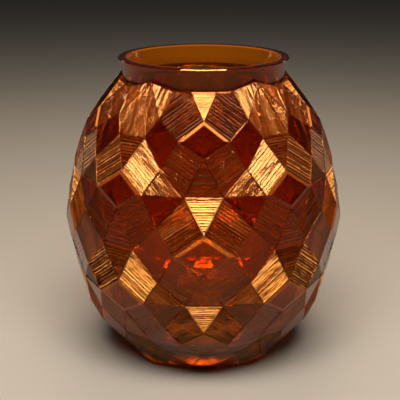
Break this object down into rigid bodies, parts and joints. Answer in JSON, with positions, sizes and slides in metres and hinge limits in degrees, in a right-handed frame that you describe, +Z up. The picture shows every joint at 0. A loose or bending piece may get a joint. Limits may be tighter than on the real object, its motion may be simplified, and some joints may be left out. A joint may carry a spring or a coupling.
{
  "type": "cut crystal vase",
  "caption": "Egg-shaped cased glass vase: amber-tinted crystal body cut into rows of diamond bosses, plain flared collar, amber inner layer.",
  "frame": {"origin": "centre of the flat base, on the surface that the vase stands on", "axes": "+Z up along the vase's axis, -Y through a diamond boss of the top, middle and fifth rows, taken as the front"},
  "size_m": [0.1848, 0.1823, 0.2],
  "materials": {
    "cut_crystal": "amber-tinted lead-free crystal, wheel cut with rows of fine strokes that keep some satin bloom",
    "polished_crystal": "amber-tinted crystal, fire polished, with a ground and polished rim",
    "amber_glass": "transparent amber glass, smooth"
  },
  "bodies": {
    "root": {"crystal_casing": "cut_crystal", "crystal_collar": "polished_crystal", "amber_lining": "amber_glass"}
  },
  "joints": []
}
